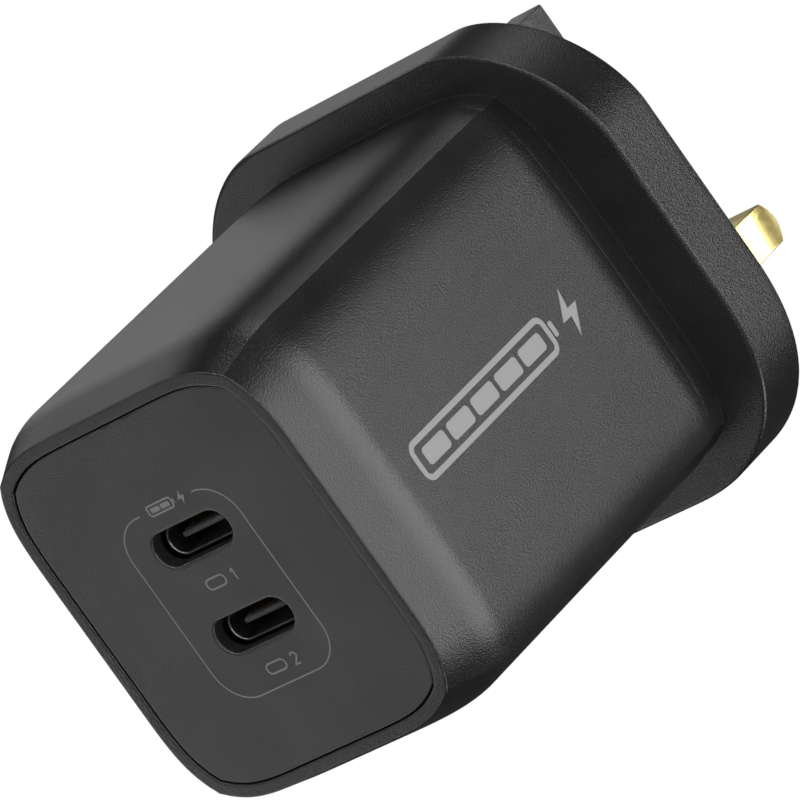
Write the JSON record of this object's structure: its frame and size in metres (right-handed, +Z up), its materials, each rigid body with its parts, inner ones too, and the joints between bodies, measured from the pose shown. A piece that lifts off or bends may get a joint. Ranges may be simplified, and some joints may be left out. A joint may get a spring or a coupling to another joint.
{
  "type": "usb wall charger",
  "caption": "Tall matte black mains charger with stacked USB-C ports on a British three-pin plug base, sleeved brass pins and a plastic earth pin.",
  "frame": {"origin": "on the engagement face of the plug, midway between the line and neutral pins", "axes": "+Y into the socket along the pins, +Z up to the earth pin, +X to the right of someone facing the ports"},
  "size_m": [0.05, 0.0741, 0.0464],
  "materials": {
    "body_plastic": "fine matte texture",
    "panel_plastic": "fine matte texture",
    "pin_plastic": "satin",
    "pin_brass": "polished",
    "copper_strip": "tinned copper",
    "port_steel": "black plated",
    "port_insulator": "gloss",
    "circuit_board": "solder mask",
    "ferrite": "ground ferrite",
    "bobbin_plastic": "moulded",
    "winding_tape": "polyester tape",
    "copper_sheet": "plain sheet",
    "copper_winding": "enamelled wire",
    "insulation_sheet": "fibre sheet",
    "capacitor_sleeve": "shrunk sleeve",
    "film_case": "moulded case",
    "capacitor_can": "drawn can",
    "disc_ceramic": "dipped",
    "fuse_case": "moulded case",
    "chip_package": "moulded"
  },
  "bodies": {
    "root": {"housing": "body_plastic", "port_panel": "panel_plastic", "plug_shell": "body_plastic", "pin_plate": "body_plastic", "earth_pin": "pin_plastic", "line_pin": "pin_brass", "neutral_pin": "pin_brass", "line_pin_sleeve": "pin_plastic", "neutral_pin_sleeve": "pin_plastic", "line_lead": "copper_strip", "neutral_lead": "copper_strip", "usb_c_shell_1": "port_steel", "usb_c_shell_2": "port_steel", "usb_c_tongue_1": "port_insulator", "usb_c_tongue_2": "port_insulator", "port_board": "circuit_board", "output_inductor_1": "ferrite", "output_inductor_2": "ferrite", "power_delivery_chip": "chip_package", "main_board": "circuit_board", "transformer_core": "ferrite", "transformer_bobbin": "bobbin_plastic", "transformer_winding": "winding_tape", "heat_spreader": "copper_sheet", "insulation_card": "insulation_sheet", "bulk_capacitor_1": "capacitor_sleeve", "bulk_capacitor_2": "capacitor_sleeve", "x_capacitor": "film_case", "common_mode_choke": "copper_winding", "output_capacitor_1": "capacitor_can", "output_capacitor_2": "capacitor_can", "y_capacitor": "disc_ceramic", "fuse": "fuse_case", "bridge_rectifier": "chip_package", "power_transistor": "chip_package", "control_chip": "chip_package"}
  },
  "joints": []
}
